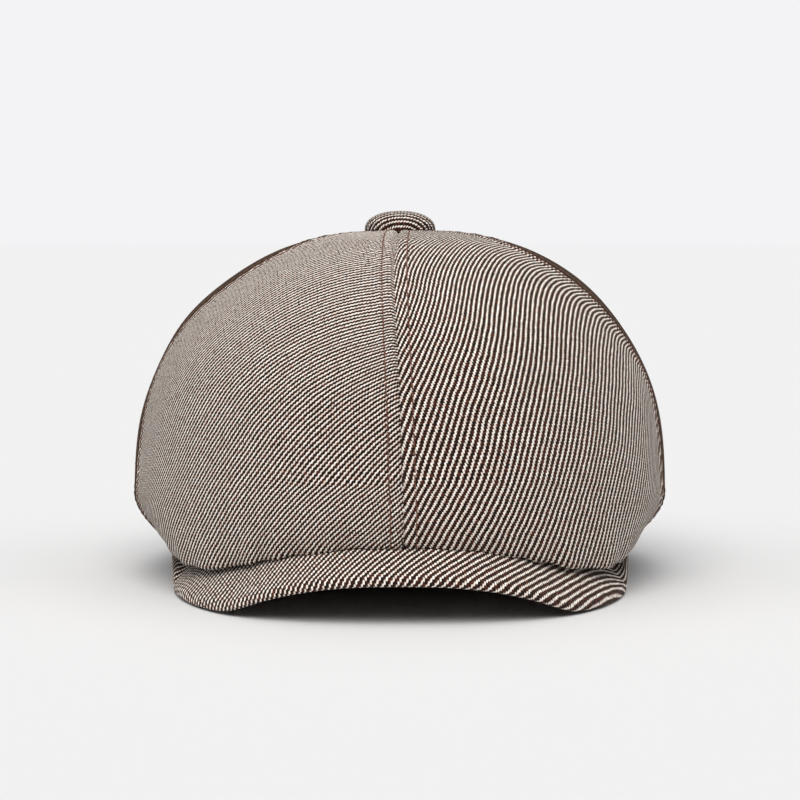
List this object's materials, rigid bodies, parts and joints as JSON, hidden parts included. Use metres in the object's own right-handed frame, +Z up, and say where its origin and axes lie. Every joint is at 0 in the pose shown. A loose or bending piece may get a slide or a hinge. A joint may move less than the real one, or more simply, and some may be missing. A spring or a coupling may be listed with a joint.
{
  "type": "newsboy cap",
  "caption": "Full soft newsboy cap in bold diagonal twill, with a stiff curved visor, plain brown side panels and a covered top button.",
  "frame": {"origin": "centre of the cap's footprint, on the surface it rests on", "axes": "+Z up through the covered button; the visor points to -Y; +X is the wearer's left"},
  "size_m": [0.2326, 0.287, 0.1582],
  "materials": {
    "twill": "heavy wool-blend twill of thick cream and dark brown yarns, matt",
    "brown_wool": "brushed dark brown wool, matt",
    "lining_satin": "satin lining, slight sheen",
    "interlining": "fused canvas interlining",
    "grosgrain": "ribbed grosgrain sweatband",
    "elastic": "ribbed woven elastic",
    "visor_board": "flexible polyethylene visor board",
    "button_metal": "stamped, satin",
    "label_cloth": "plain woven label tape"
  },
  "bodies": {
    "root": {"front_panel_left": "twill", "front_panel_right": "twill", "side_panel_left": "brown_wool", "side_panel_right": "brown_wool", "rear_panel_left": "twill", "rear_panel_right": "twill", "lining_front_left": "lining_satin", "lining_front_right": "lining_satin", "lining_side_left": "lining_satin", "lining_side_right": "lining_satin", "lining_rear_left": "lining_satin", "lining_rear_right": "lining_satin", "front_interlining_left": "interlining", "front_interlining_right": "interlining", "outer_band": "twill", "sweatband": "grosgrain", "sweatband_elastic": "elastic", "lining_label": "label_cloth", "size_tab": "label_cloth", "visor_top_cover": "twill", "visor_under_cover": "twill", "visor_board": "visor_board", "button_cover": "twill", "button_shell": "button_metal", "button_back": "button_metal"}
  },
  "joints": []
}
